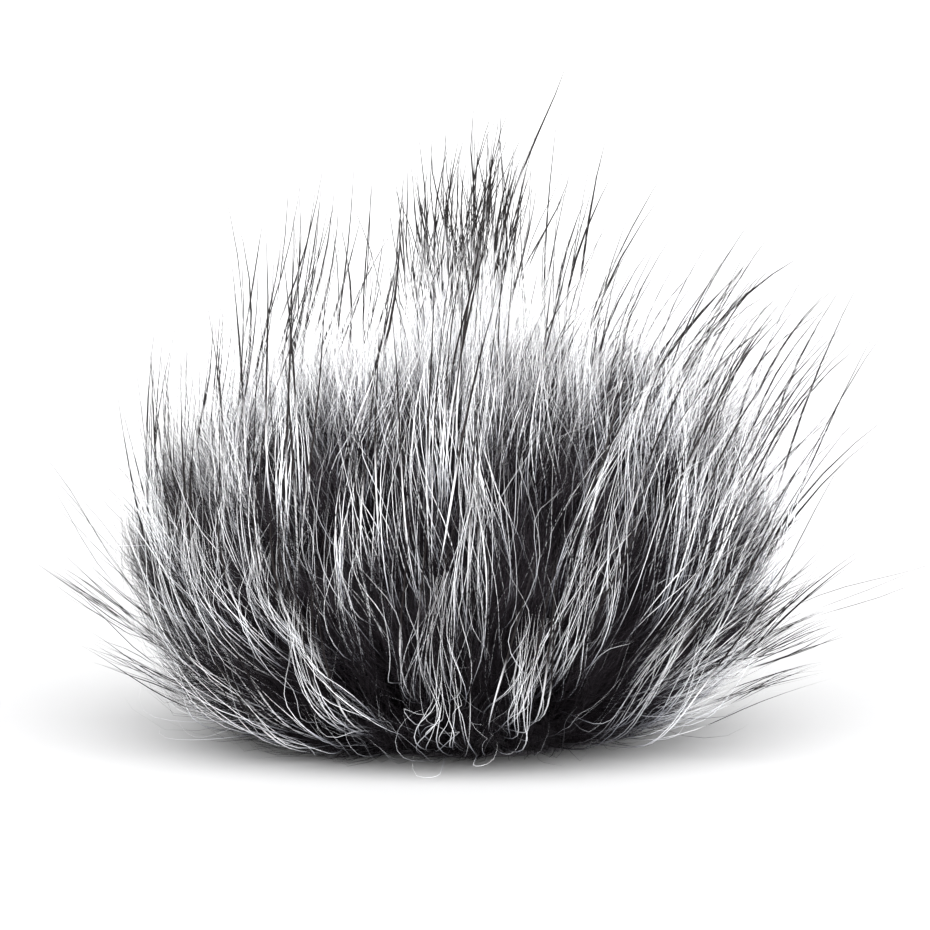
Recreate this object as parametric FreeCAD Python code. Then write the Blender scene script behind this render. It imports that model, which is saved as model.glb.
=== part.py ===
import FreeCAD, Part
import math
import os

# Slip-on furry windscreen for a small microphone: a fur bag with a foam core, drawn in at its mouth.
# Millimetres, +Z up. The windscreen stands on its mouth. The origin is the centre of the mouth, on the plane
# it stands on. +Y is the back, where the two tails of the drawcord come out and carry a sprung cord lock.

V = FreeCAD.Vector

# ---- driving dimensions --------------------------------------------------------------------------

MOUTH_R = 20.0  # relaxed mouth, inside the grip band
HEM_H = 12.0  # height of the drawn-in hem
FIT_GAP = 0.1  # space left between two layers that lie on each other
RUN_GAP = 0.05  # running clearance of everything that slides

BAND_T = 1.2  # grip band
BAND_H = 10.8
BAND_EDGE_R = 0.4

TAPE_T = 0.8  # wall of the folded tape that makes the cord casing
POCKET_W = 3.0  # room for the cord inside the casing
CASING_EDGE_R = 1.2

BACKING_T = 1.0  # knit backing of the fur
BACKING_LIFT = 0.2  # its cut edge stays this far off the plane the windscreen stands on
BAG_R = 40.0  # the backing's widest radius
BAG_WIDEST_Z = 30.5
BAG_TOP_Z = 57.5
BAG_BELLY = 24.0  # depth of the lower half, as the half axis of its ellipse

CAVITY_R = 25.0  # room for the microphone
CAVITY_WIDE_Z = 20.0  # height at which the cavity has opened to its full radius
CAVITY_SHOULDER_Z = 32.0
CAVITY_TOP_Z = 44.0
CAVITY_NECK_Z = HEM_H + 2.0  # the cavity is straight up to here, then flares
LINING_T = 0.5

CORD_R = 1.1
TAIL_X = 1.7  # each tail's distance from the middle plane
CORD_Z = 6.0
CORD_BEND_R = 2.0
TAIL_END_Y = 90.0
TIP_R = 1.6
TIP_L = 9.0
TIP_BEYOND = 1.0  # how far a tip's round end starts past the end of its cord
TIP_GLUE_GAP = 0.02

EYELET_HOLE_R = 3.5
EYELET_WALL = 0.4
EYELET_FLANGE_R = 5.5
EYELET_T = 0.55
EYELET_CURL = 0.25  # how far the barrel's rolled edge stands out of the washer
WASHER_R = 5.0

LOCK_Y = 64.0  # the cord lock's place at rest
PRESS = 3.5  # travel of its plunger
LOCK_HALF_W = 7.5
LOCK_HALF_H = 5.4
LOCK_FLOOR = 1.5
PLUNGER_HALF_W = 4.6
PLUNGER_HALF_H = 3.3
PLUNGER_BAR = 1.6  # the bar behind the cords
PLUNGER_SLOT_HALF_H = 1.5
LOCK_MOUTH_X = 8.5
LOCK_EDGE_R = 1.2
LOCK_GROOVE_R = 0.5
LOCK_GROOVE_RISE = 0.2  # height of a finger groove's axis above the face it is cut in
LOCK_GROOVES_X = (-9.2, -6.2, 5.4)
BUTTON_T = 1.8
BUTTON_LIP = 1.0
BUTTON_EDGE_R = 0.7
BUTTON_DISH_R = 14.0
BUTTON_DISH_DEPTH = 0.5
SPRING_WIRE_R = 0.28
SPRING_R = 2.4
SPRING_TURNS = 4.5

PILE_GAP = 0.6  # room under the undercoat for the hem stitches and the eyelet
UNDERCOAT_OUTLINE = [  # radius and height
    (28.4, 0.6),
    (46.0, 5.0),
    (59.0, 13.0),
    (67.0, 27.0),
    (69.0, 44.0),
    (65.5, 62.0),
    (52.0, 76.0),
]
UNDERCOAT_TOP_Z = 83.0
CORD_TUNNEL = (-14.0, 16.0, 12.8)  # low x, high x and height of the parting in the fur behind the eyelet

STITCH_R = 0.2
SEAM_STITCH_L = 2.2
SEAM_STITCH_LEAN = 0.35  # slope of the overlock stitches
SEAM_PITCH_DEG = 4.6
SEAM_FROM_DEG = -38.0
SEAM_TO_DEG = 80.0
HEM_STITCH_L = 2.4
HEM_STITCHES = 44  # in each row
HEM_ROWS_Z = (1.8, HEM_H - 1.6)
LINING_STITCH_L = 2.0
LINING_STITCHES = 36
LINING_STITCH_Z = HEM_H + 0.3

GORES = {"front": -90.0, "right": 0.0, "back": 90.0, "left": 180.0}
HALF_GORE = 45.0
FAR = 200.0  # beyond the object in every direction
FLAT_ENOUGH = 0.01

# Rows of hair locks on one gore: where the roots sit on the bag (degrees above its widest circle), how many
# locks, and the radius and height that their tips reach.
TRESS_ROWS = [
    (-28.0, 5, 92.5, 50.0),
    (-4.0, 5, 88.0, 84.0),
    (22.0, 5, 74.0, 108.0),
    (48.0, 3, 46.0, 124.0),
    (76.0, 1, 12.0, 134.0),
]
TRESS_SPREAD_DEG = 37.0
TRESS_ROOT_R = 1.5
TRESS_TIP_R = 0.15
TRESS_SHORTEST = 0.82  # the shortest lock of a row, as a share of the longest
TRESS_KNEE = 0.45  # how far a lock runs straight out before it sweeps up, as a share of its length
TRESS_STATIONS = [0.0, 0.3, 0.6, 0.85, 1.0]
GOLDEN = (math.sqrt(5.0) - 1.0) / 2.0  # spreads the locks' lengths without a pattern

# ---- worked out from them ------------------------------------------------------------------------

CASING_IN_R = MOUTH_R + BAND_T + FIT_GAP
POCKET_IN_R = CASING_IN_R + TAPE_T
POCKET_OUT_R = POCKET_IN_R + POCKET_W
CASING_OUT_R = POCKET_OUT_R + TAPE_T
HEM_R = CASING_OUT_R + FIT_GAP + BACKING_T
LOOP_R = POCKET_IN_R + CORD_R + FIT_GAP
LINING_MOUTH_R = CASING_IN_R + FIT_GAP
FOAM_GAP = BACKING_T + PILE_GAP

HALF_CHANNEL = TAIL_X + CORD_R + RUN_GAP  # half width of the channel that both tails run through
PLUNGER_END_X = -HALF_CHANNEL - PLUNGER_BAR
LOCK_BACK_X = PLUNGER_END_X - 2 * SPRING_WIRE_R * SPRING_TURNS - PRESS
LOCK_END_X = LOCK_BACK_X - LOCK_FLOOR
BUTTON_X = LOCK_MOUTH_X + PRESS + FIT_GAP


# ---- shape helpers -------------------------------------------------------------------------------


def line(a, b):
    return Part.LineSegment(V(*a, 0), V(*b, 0)).toShape()


def ellipse_arc(center_z, half_r, half_z, start_deg, end_deg):
    """Arc of an ellipse centred on the axis, as (radius, height); angles count up from the widest circle."""
    ellipse = Part.Ellipse(V(0, center_z, 0), half_r, half_z)
    arc = Part.ArcOfEllipse(ellipse, math.radians(start_deg), math.radians(end_deg))
    # Turned as a spline, the dome keeps its pole when it is written to STEP.
    return arc.toBSpline().toShape()


def circle_edges(shape, wanted):
    """The round edges for which wanted(radius, height) is true."""
    round_edges = [e for e in shape.Edges if hasattr(e.Curve, "Radius")]
    return [e for e in round_edges if wanted(e.Curve.Radius, e.CenterOfMass.z)]


def edges_across_x(shape, past_x=-FAR):
    """The edges that lie in planes square to X, beyond a place on it."""
    return [e for e in shape.Edges if e.BoundBox.XLength < FLAT_ENOUGH and e.CenterOfMass.x > past_x]


def right_way_out(solid):
    """The same solid, with its faces turned outwards if they faced inwards."""
    if solid.Volume < 0:
        solid.reverse()
    return solid


def turned(edges):
    """Solid made by turning a closed outline of (radius, height) edges about the Z axis."""
    face = Part.Face(Part.Wire(Part.sortEdges(edges)[0]))
    face.rotate(V(0, 0, 0), V(1, 0, 0), 90)
    return right_way_out(Part.Solid(face.revolve(V(0, 0, 0), V(0, 0, 1), 360)))


def ring(inner_r, outer_r, low_z, high_z):
    outer = Part.makeCylinder(outer_r, high_z - low_z, V(0, 0, low_z))
    inner = Part.makeCylinder(inner_r, high_z - low_z, V(0, 0, low_z))
    return outer.cut(inner)


def rod_y(radius, x, z, low_y, high_y):
    return Part.makeCylinder(radius, high_y - low_y, V(x, low_y, z), V(0, 1, 0))


def stadium_x(half_w, half_h, low_x, high_x, center_y, center_z):
    """Bar along X whose section is a slot shape, wide in Y and with half-round ends."""
    side = half_w - half_h
    length = high_x - low_x
    bar = Part.makeBox(length, 2 * side, 2 * half_h, V(low_x, center_y - side, center_z - half_h))
    for y in (center_y - side, center_y + side):
        bar = bar.fuse(Part.makeCylinder(half_h, length, V(low_x, y, center_z), V(1, 0, 0)))
    return bar.removeSplitter()


def slot_y(low_x, high_x, half_h, low_y, high_y, center_z):
    """Slot-shaped bar along Y, wide in X and with half-round ends."""
    left = low_x + half_h
    right = high_x - half_h
    bar = Part.makeBox(right - left, high_y - low_y, 2 * half_h, V(left, low_y, center_z - half_h))
    for x in (left, right):
        bar = bar.fuse(rod_y(half_h, x, center_z, low_y, high_y))
    return bar.removeSplitter()


def polar(radius, azimuth_deg, z):
    angle = math.radians(azimuth_deg)
    return V(radius * math.cos(angle), radius * math.sin(angle), z)


def gore_of(shape, azimuth_deg):
    """The quarter of a round shape that faces one way, with the seam gap taken off both sides."""
    apex = FIT_GAP / 2 / math.sin(math.radians(HALF_GORE))
    middle = polar(apex, azimuth_deg, -1)
    corners = [middle + polar(FAR, azimuth_deg + side, 0) for side in (-HALF_GORE, HALF_GORE)]
    wedge = Part.Face(Part.makePolygon([middle, *corners, middle])).extrude(V(0, 0, FAR))
    return shape.common(wedge)


def stitch(center, direction, length):
    """One visible stitch: a short bar of thread."""
    unit = direction.normalize()
    return Part.makeCylinder(STITCH_R, length, center - unit * (length / 2), unit)


# ---- the bag's round layers ----------------------------------------------------------------------


def bag_axes(grow):
    """Half axes of the bag's outline, `grow` outside the backing's outer face."""
    return BAG_R + grow, BAG_TOP_Z - BAG_WIDEST_Z + grow, BAG_BELLY + grow


def bag(grow, floor_z):
    """Solid bag: straight hem, round belly and dome, out to `grow` from the backing's outer face."""
    half_r, half_up, half_down = bag_axes(grow)
    hem_r = HEM_R + grow
    neck_deg = math.degrees(math.acos(hem_r / half_r))
    neck_z = BAG_WIDEST_Z - half_down * math.sin(math.radians(neck_deg))
    top_z = BAG_WIDEST_Z + half_up
    return turned([
        line((0, floor_z), (hem_r, floor_z)),
        line((hem_r, floor_z), (hem_r, neck_z)),
        ellipse_arc(BAG_WIDEST_Z, half_r, half_down, -neck_deg, 0),
        ellipse_arc(BAG_WIDEST_Z, half_r, half_up, 0, 90),
        line((0, top_z), (0, floor_z)),
    ])


def bag_point(grow, angle_deg):
    """(radius, height) on a layer, at an angle above its widest circle."""
    half_r, half_up, half_down = bag_axes(grow)
    angle = math.radians(angle_deg)
    half_z = half_up if angle_deg >= 0 else half_down
    return half_r * math.cos(angle), BAG_WIDEST_Z + half_z * math.sin(angle)


def cavity(grow, floor_z):
    """The room inside the lining: narrow at the mouth, wide and round-topped above it."""
    mouth_r = LINING_MOUTH_R + grow
    wide_r = CAVITY_R + grow
    top_z = CAVITY_TOP_Z + grow
    bulge_z = (HEM_H + CAVITY_WIDE_Z) / 2
    flare = Part.BezierCurve()
    flare.setPoles([
        V(mouth_r, CAVITY_NECK_Z, 0),
        V(mouth_r, bulge_z, 0),
        V(wide_r, bulge_z, 0),
        V(wide_r, CAVITY_WIDE_Z, 0),
    ])
    return turned([
        line((0, floor_z), (mouth_r, floor_z)),
        line((mouth_r, floor_z), (mouth_r, CAVITY_NECK_Z)),
        flare.toShape(),
        line((wide_r, CAVITY_WIDE_Z), (wide_r, CAVITY_SHOULDER_Z)),
        ellipse_arc(CAVITY_SHOULDER_Z, wide_r, top_z - CAVITY_SHOULDER_Z, 0, 90),
        line((0, top_z), (0, floor_z)),
    ])


# ---- pieces at the mouth -------------------------------------------------------------------------


def make_grip_band():
    """Rubbery band that holds on the microphone; its rounded inner lip faces the cavity."""
    band = ring(MOUTH_R, MOUTH_R + BAND_T, 0, BAND_H)
    return band.makeFillet(BAND_EDGE_R, circle_edges(band, lambda radius, height: height > BAND_H / 2))


def eyelet_bore(radius):
    return rod_y(radius, 0, CORD_Z, LOOP_R, HEM_R + EYELET_FLANGE_R)


def make_cord_casing():
    """Folded tape: a closed tunnel for the cord, with one hole at the back for the eyelet."""
    outer = ring(CASING_IN_R, CASING_OUT_R, 0, HEM_H)
    outer = outer.makeFillet(CASING_EDGE_R, circle_edges(outer, lambda radius, height: True))
    pocket = ring(POCKET_IN_R, POCKET_OUT_R, TAPE_T, HEM_H - TAPE_T)
    return outer.cut(pocket).cut(eyelet_bore(EYELET_HOLE_R + EYELET_WALL + RUN_GAP))


def curved_plate(inner_r, thickness, outline_r):
    """Round plate at the back, bent to lie on the hem."""
    sheet = ring(inner_r, inner_r + thickness, 0, HEM_H)
    return sheet.common(eyelet_bore(outline_r))


def make_cord_eyelet():
    """Flange on the outside of the backing, with a barrel through backing and tape."""
    flange = curved_plate(HEM_R + RUN_GAP, EYELET_T, EYELET_FLANGE_R)
    barrel_in_y = POCKET_OUT_R - EYELET_T - EYELET_CURL
    barrel = rod_y(EYELET_HOLE_R + EYELET_WALL, 0, CORD_Z, barrel_in_y, HEM_R + RUN_GAP + EYELET_T)
    return flange.fuse(barrel).removeSplitter().cut(rod_y(EYELET_HOLE_R, 0, CORD_Z, 0, FAR))


def make_eyelet_washer():
    """Washer inside the casing that the eyelet's barrel is set over."""
    plate = curved_plate(POCKET_OUT_R - EYELET_T - RUN_GAP, EYELET_T, WASHER_R)
    return plate.cut(eyelet_bore(EYELET_HOLE_R + EYELET_WALL + RUN_GAP))


def make_drawcord():
    """One loop in the casing, turned out through the eyelet into two straight tails."""
    bend_x = TAIL_X + CORD_BEND_R
    reach = LOOP_R + CORD_BEND_R
    bend_y = math.sqrt(reach**2 - bend_x**2)
    bend = V(bend_x, bend_y, 0)
    touch = bend * (LOOP_R / reach)
    halfway = bend - (bend / reach + V(1, 0, 0)).normalize() * CORD_BEND_R
    start = V(TAIL_X, bend_y, 0)

    def mirrored(p):
        return V(-p.x, p.y, p.z)

    path = Part.Wire([
        Part.LineSegment(V(TAIL_X, TAIL_END_Y, 0), start).toShape(),
        Part.Arc(start, halfway, touch).toShape(),
        Part.Arc(touch, V(0, -LOOP_R, 0), mirrored(touch)).toShape(),
        Part.Arc(mirrored(touch), mirrored(halfway), mirrored(start)).toShape(),
        Part.LineSegment(mirrored(start), V(-TAIL_X, TAIL_END_Y, 0)).toShape(),
    ])
    section = Part.Wire(Part.makeCircle(CORD_R, V(TAIL_X, TAIL_END_Y, 0), V(0, 1, 0)))
    cord = path.makePipeShell([section], True, True)
    cord.translate(V(0, 0, CORD_Z))
    return cord


def make_cord_tips():
    """Moulded ends over the two tails, too big to pass through the lock."""
    tips = []
    nose_y = TAIL_END_Y + TIP_BEYOND
    low_y = nose_y - (TIP_L - TIP_R)
    for x in (-TAIL_X, TAIL_X):
        tip = rod_y(TIP_R, x, CORD_Z, low_y, nose_y)
        nose = Part.makeSphere(TIP_R, V(x, nose_y, CORD_Z))
        socket = rod_y(CORD_R + TIP_GLUE_GAP, x, CORD_Z, low_y, TAIL_END_Y + TIP_GLUE_GAP)
        tips.append(tip.fuse(nose).removeSplitter().cut(socket))
    return Part.makeCompound(tips)


# ---- cord lock -----------------------------------------------------------------------------------


def lock_bar(lip, low_x, high_x):
    """Bar along the plunger's axis, wider than the plunger by a lip all round."""
    return stadium_x(PLUNGER_HALF_W + lip, PLUNGER_HALF_H + lip, low_x, high_x, LOCK_Y, CORD_Z)


def make_cord_lock_body():
    """Flat barrel, open at +X for the plunger, with one slot-shaped channel for both cords."""
    body = stadium_x(LOCK_HALF_W, LOCK_HALF_H, LOCK_END_X, LOCK_MOUTH_X, LOCK_Y, CORD_Z)
    body = body.makeFillet(LOCK_EDGE_R, edges_across_x(body))
    low_y = LOCK_Y - LOCK_HALF_W
    high_y = LOCK_Y + LOCK_HALF_W
    for x in LOCK_GROOVES_X:
        for side in (-1, 1):
            groove_z = CORD_Z + side * (LOCK_HALF_H + LOCK_GROOVE_RISE)
            body = body.cut(rod_y(LOCK_GROOVE_R, x, groove_z, low_y, high_y))
    pocket = lock_bar(RUN_GAP, LOCK_BACK_X, LOCK_MOUTH_X + LOCK_HALF_W)
    channel = slot_y(-HALF_CHANNEL, HALF_CHANNEL, CORD_R + RUN_GAP, low_y, high_y, CORD_Z)
    return body.cut(pocket).cut(channel)


def make_cord_lock_plunger():
    """Sliding bar with a long slot that the cords run through, and a dished button outside."""
    stem = lock_bar(0, PLUNGER_END_X, BUTTON_X + BUTTON_T / 2)
    low_y = LOCK_Y - LOCK_HALF_W
    high_y = LOCK_Y + LOCK_HALF_W
    slot = slot_y(-HALF_CHANNEL, HALF_CHANNEL + PRESS, PLUNGER_SLOT_HALF_H, low_y, high_y, CORD_Z)
    face_x = BUTTON_X + BUTTON_T
    button = lock_bar(BUTTON_LIP, BUTTON_X, face_x)
    button = button.makeFillet(BUTTON_EDGE_R, edges_across_x(button, BUTTON_X + BUTTON_T / 2))
    dish = Part.makeSphere(BUTTON_DISH_R, V(face_x + BUTTON_DISH_R - BUTTON_DISH_DEPTH, LOCK_Y, CORD_Z))
    return stem.cut(slot).fuse(button).removeSplitter().cut(dish)


def make_cord_lock_spring():
    """Coil between the pocket's floor and the plunger's bar."""
    length = PLUNGER_END_X - LOCK_BACK_X - 2 * SPRING_WIRE_R - 2 * RUN_GAP
    helix = Part.makeHelix(length / SPRING_TURNS, length, SPRING_R)
    section = Part.Wire(Part.makeCircle(SPRING_WIRE_R, V(SPRING_R, 0, 0), V(0, 1, 0)))
    coil = Part.Wire(helix).makePipeShell([section], True, True)
    coil.rotate(V(0, 0, 0), V(0, 1, 0), 90)
    coil.translate(V(LOCK_BACK_X + SPRING_WIRE_R + RUN_GAP, LOCK_Y, CORD_Z))
    return coil


# ---- core, backing and stitches ------------------------------------------------------------------


def make_mesh_lining():
    return cavity(LINING_T, HEM_H + FIT_GAP).cut(cavity(0, 0))


def make_foam_liner():
    """Cup between the lining and the backing, resting on the casing's top edge."""
    outer = bag(-FOAM_GAP, HEM_H + FIT_GAP)
    return outer.cut(cavity(LINING_T + FIT_GAP, 0))


def make_backings():
    shell = bag(0, BACKING_LIFT).cut(bag(-BACKING_T, 0))
    shell = shell.cut(eyelet_bore(EYELET_HOLE_R + EYELET_WALL + RUN_GAP))
    return {f"fur_backing_{side}": gore_of(shell, azimuth) for side, azimuth in GORES.items()}


def make_gore_seam_thread():
    """Slanted overlock stitches across each seam, on the inner face of the backing."""
    stitches = []
    grow = -BACKING_T - STITCH_R - RUN_GAP
    count = int((SEAM_TO_DEG - SEAM_FROM_DEG) / SEAM_PITCH_DEG) + 1
    for azimuth in GORES.values():
        seam = azimuth + HALF_GORE
        across = polar(1, seam + 90, 0)
        for index in range(count):
            angle = SEAM_FROM_DEG + SEAM_PITCH_DEG * index
            slope = SEAM_STITCH_LEAN if index % 2 == 0 else -SEAM_STITCH_LEAN
            radius, height = bag_point(grow, angle)
            low_r, low_z = bag_point(grow, angle - 1)
            place = polar(radius, seam, height)
            along = (place - polar(low_r, seam, low_z)).normalize()
            stitches.append(stitch(place, across + along * slope, SEAM_STITCH_L))
    return Part.makeCompound(stitches)


def make_hem_thread():
    """Two rows of running stitch on the outside of the backing, left open at the eyelet."""
    stitches = []
    for height in HEM_ROWS_Z:
        for index in range(HEM_STITCHES):
            azimuth = 360.0 * index / HEM_STITCHES
            place = polar(HEM_R + STITCH_R + RUN_GAP, azimuth, height)
            at_eyelet = place.y > 0 and abs(place.x) < EYELET_FLANGE_R + HEM_STITCH_L
            if not at_eyelet:
                stitches.append(stitch(place, polar(1, azimuth + 90, 0), HEM_STITCH_L))
    return Part.makeCompound(stitches)


def make_lining_thread():
    """Whip stitches up the inside of the joint between casing and lining."""
    radius = CASING_IN_R - STITCH_R - RUN_GAP
    stitches = []
    for index in range(LINING_STITCHES):
        place = polar(radius, 360.0 * index / LINING_STITCHES, LINING_STITCH_Z)
        stitches.append(stitch(place, V(0, 0, 1), LINING_STITCH_L))
    return Part.makeCompound(stitches)


# ---- fur -----------------------------------------------------------------------------------------


def make_undercoats():
    """Dense short fibres of each gore, as the closed body they fill, parted behind for cord and lock."""
    first = UNDERCOAT_OUTLINE[0]
    curve = Part.BSplineCurve()
    points = [V(r, z, 0) for r, z in UNDERCOAT_OUTLINE] + [V(0, UNDERCOAT_TOP_Z, 0)]
    curve.interpolate(points, InitialTangent=V(1, 0.1, 0), FinalTangent=V(-1, 0, 0))
    pile = turned([
        line((0, first[1]), first),
        curve.toShape(),
        line((0, UNDERCOAT_TOP_Z), (0, first[1])),
    ]).cut(bag(PILE_GAP, 0))
    low_x, high_x, height = CORD_TUNNEL
    parting = Part.makeBox(high_x - low_x, FAR, height, V(low_x, 0, 0))
    return {f"undercoat_{side}": gore_of(pile.cut(parting), azimuth) for side, azimuth in GORES.items()}


def hair_lock(azimuth, root_deg, tip_r, tip_z):
    """One tapering lock: leaves the bag square to it, then sweeps up to its tip."""
    root_r, root_z = bag_point(PILE_GAP, root_deg)
    near_r, near_z = bag_point(PILE_GAP + 1, root_deg)
    root = V(root_r, 0, root_z)
    tip = V(tip_r, 0, tip_z)
    outward = (V(near_r, 0, near_z) - root).normalize()
    knee = root + outward * ((tip - root).Length * TRESS_KNEE)
    sections = []
    for t in TRESS_STATIONS:
        place = root * (1 - t) ** 2 + knee * (2 * t * (1 - t)) + tip * t**2
        heading = (knee - root) * (1 - t) + (tip - knee) * t
        section = Part.makeCircle(TRESS_TIP_R + (TRESS_ROOT_R - TRESS_TIP_R) * (1 - t))
        section.rotate(V(0, 0, 0), V(0, 1, 0), math.degrees(math.atan2(heading.x, heading.z)))
        section.translate(place)
        sections.append(Part.Wire(section))
    lock = right_way_out(Part.makeLoft(sections, True, False))
    lock.rotate(V(0, 0, 0), V(0, 0, 1), azimuth)
    return lock


def hair_locks(gore_number, azimuth):
    """Every lock of one gore; the middle lock of each row is its longest."""
    locks = []
    for root_deg, count, tip_r, tip_z in TRESS_ROWS:
        root_r, root_z = bag_point(PILE_GAP, root_deg)
        for index in range(count):
            place = 0.5 if count == 1 else index / (count - 1)
            turn = TRESS_SPREAD_DEG * (2 * place - 1)
            share = (GOLDEN * (index + 1 + 3 * gore_number)) % 1.0
            reach = 1.0 if index == count // 2 else TRESS_SHORTEST + (1 - TRESS_SHORTEST) * share
            high_r = root_r + (tip_r - root_r) * reach
            high_z = root_z + (tip_z - root_z) * reach
            locks.append(hair_lock(azimuth + turn, root_deg, high_r, high_z))
    return Part.makeCompound(locks)


def make_guard_hair():
    """Long locks of each gore, rooted in the backing and standing out through the undercoat."""
    sides = enumerate(GORES.items())
    return {f"guard_hair_{side}": hair_locks(number, azimuth) for number, (side, azimuth) in sides}


# ---- write every piece ---------------------------------------------------------------------------


def main():
    nodes = {
        "grip_band": make_grip_band(),
        "cord_casing": make_cord_casing(),
        "cord_eyelet": make_cord_eyelet(),
        "eyelet_washer": make_eyelet_washer(),
        "drawcord": make_drawcord(),
        "cord_tips": make_cord_tips(),
        "cord_lock_body": make_cord_lock_body(),
        "cord_lock_plunger": make_cord_lock_plunger(),
        "cord_lock_spring": make_cord_lock_spring(),
        "mesh_lining": make_mesh_lining(),
        "foam_liner": make_foam_liner(),
        "gore_seam_thread": make_gore_seam_thread(),
        "hem_thread": make_hem_thread(),
        "lining_thread": make_lining_thread(),
    }
    nodes.update(make_backings())
    nodes.update(make_undercoats())
    nodes.update(make_guard_hair())
    os.makedirs("parts", exist_ok=True)
    for name, shape in nodes.items():
        shape.exportStep(f"parts/{name}.step")


main()
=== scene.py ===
import math

import bmesh
import bpy
import numpy as np
from mathutils import Matrix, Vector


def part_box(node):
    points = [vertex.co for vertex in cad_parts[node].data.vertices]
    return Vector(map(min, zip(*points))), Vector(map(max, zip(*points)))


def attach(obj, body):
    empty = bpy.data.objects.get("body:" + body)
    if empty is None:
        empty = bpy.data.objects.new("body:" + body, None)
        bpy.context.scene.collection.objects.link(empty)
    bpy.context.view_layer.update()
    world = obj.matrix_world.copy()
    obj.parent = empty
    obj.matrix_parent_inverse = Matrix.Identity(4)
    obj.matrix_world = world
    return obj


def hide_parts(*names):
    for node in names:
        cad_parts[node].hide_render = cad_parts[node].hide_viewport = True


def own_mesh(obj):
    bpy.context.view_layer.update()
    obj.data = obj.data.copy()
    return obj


# Looks of a furry microphone windscreen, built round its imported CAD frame.
# Metres, +Z up, front towards -Y.
# The fur is real geometry: closed, tapering strands grown from the outer face of the knit backing.

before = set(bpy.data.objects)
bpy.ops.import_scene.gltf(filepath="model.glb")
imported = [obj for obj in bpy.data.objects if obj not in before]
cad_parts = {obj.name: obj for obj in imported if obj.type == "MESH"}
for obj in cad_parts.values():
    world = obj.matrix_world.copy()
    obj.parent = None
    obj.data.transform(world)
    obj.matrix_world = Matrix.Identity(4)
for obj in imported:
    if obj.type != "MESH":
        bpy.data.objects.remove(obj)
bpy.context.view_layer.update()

MM = 0.001
SIDES = ("front", "right", "back", "left")
GRAIN = 6  # seed of every random draw

BAG_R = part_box("fur_backing_right")[1][0]
BAG_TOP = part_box("fur_backing_front")[1][2]
HEM_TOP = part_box("cord_casing")[1][2]
HEART_Z = BAG_TOP / 2
FACING = 0.35  # least cosine between an outer face's normal and the way out from the heart

# ---- fur: how long, how thick, how many --------------

# The outline of the undercoat. Each row is a root's angle above the bag's heart, in degrees,
# then the radius and the height, in millimetres, where the undercoat over that root ends.
COAT_EDGE = [
    (-70, 30, 2),
    (-50, 44, 7),
    (-36, 56, 15),
    (-26, 63, 24),
    (-16, 65, 34),
    (-6, 65, 44),
    (4, 64, 54),
    (18, 59, 65),
    (34, 47, 74),
    (54, 29, 79),
    (90, 0, 81),
]
COAT_TILT = 0.08  # how much higher the top of the coat is towards +X
BASE_ASIDE = -5  # how far the foot of the coat sits to one side, in millimetres

# How far strand ends lean away from the axis, in degrees, by the same root angle.
FAN = [(-70, 66), (-50, 58), (-36, 46), (-24, 28), (-12, 13), (0, 5), (30, 3), (90, 0)]

LEAN = 4  # how far the coat leans to +X, in degrees
LEAN_RIGHT = 38  # and how much more on its right side

# What each kind of fibre has unless it says otherwise. Lengths in millimetres, angles in degrees.
PLAIN = {
    "patch": math.inf,  # radius of the ground each lock grows on
    "lift": 0,  # how much higher up the bag its tips aim than its roots stand
    "flare": 0,  # how much further than the rest it fans out
    "lean": LEAN,
    "aside": 0,  # how far its tips are moved to +X
    "bow": 0.38,  # share of its length for which it leaves the bag square to it
    "straight": 0.42,  # share of its length for which it holds its last direction
    "draw": (0.0, 0.8),  # where along its length it starts and ends being drawn into its lock
    "pale": 0.0,  # how much paler it is than halfway between its two tones
    "banding": "even",  # where its colours change: evenly, at the undercoat's "edge" or at its "tip"
}

# Each kind of fibre, on one gore of the coat.
#   count: how many roots are tried; those off their lock's patch aren't used
#   locks: how many locks they stand in
#   band: root angles they grow at
#   beyond: how far they pass the undercoat's edge
#   thick: radius of a strand
#   segments: straight steps that a strand is made of
#   gather: how far strands are drawn in to the middle of their lock, 0 to 1
#   wander: how far they waver, as a share of their length
#   astray, bend: spread of their directions and of the places of their tips
UNDERCOAT = {
    **PLAIN,
    "count": 10000,
    "locks": 150,
    "band": (-90, 120),
    "beyond": (-15, 2),
    "thick": 0.058,
    "segments": 5,
    "gather": 0.55,
    "wander": 0.045,
    "astray": 8,
    "bend": 2.5,
}
FINE_HAIR = {
    **PLAIN,
    "count": 450,
    "locks": 60,
    "lift": 10,
    "band": (-90, 120),
    "beyond": (-14, 8),
    "thick": 0.042,
    "segments": 8,
    "gather": 0.55,
    "wander": 0.05,
    "astray": 12,
    "bend": 6,
}
LOCK_HAIR = {
    **PLAIN,
    "count": 1180,
    "locks": 30,
    "patch": 5.0,
    "band": (-50, 42),
    "lift": 20,
    "bow": 0.48,
    "beyond": (-6, 18),
    "thick": 0.1,
    "segments": 12,
    "gather": 0.97,
    "draw": (0.2, 0.95),
    "wander": 0.02,
    "astray": 13,
    "bend": 5,
    "pale": 0.4,
}
HALO_HAIR = {
    **PLAIN,
    "count": 850,
    "locks": 60,
    "band": (4, 120),
    "beyond": (8, 32),
    "thick": 0.042,
    "segments": 7,
    "gather": 0.6,
    "wander": 0.04,
    "astray": 10,
    "bend": 5,
    "banding": "edge",
}
HIGH_HALO_HAIR = {
    **HALO_HAIR,
    "count": 620,
    "band": (26, 120),
}
FLYAWAY_HAIR = {
    **PLAIN,
    "count": 210,
    "locks": 40,
    "band": (-70, 50),
    "lift": 12,
    "beyond": (-16, 10),
    "thick": 0.075,
    "segments": 14,
    "gather": 0.0,
    "wander": 0.045,
    "astray": 21,
    "bend": 5,
}
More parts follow.
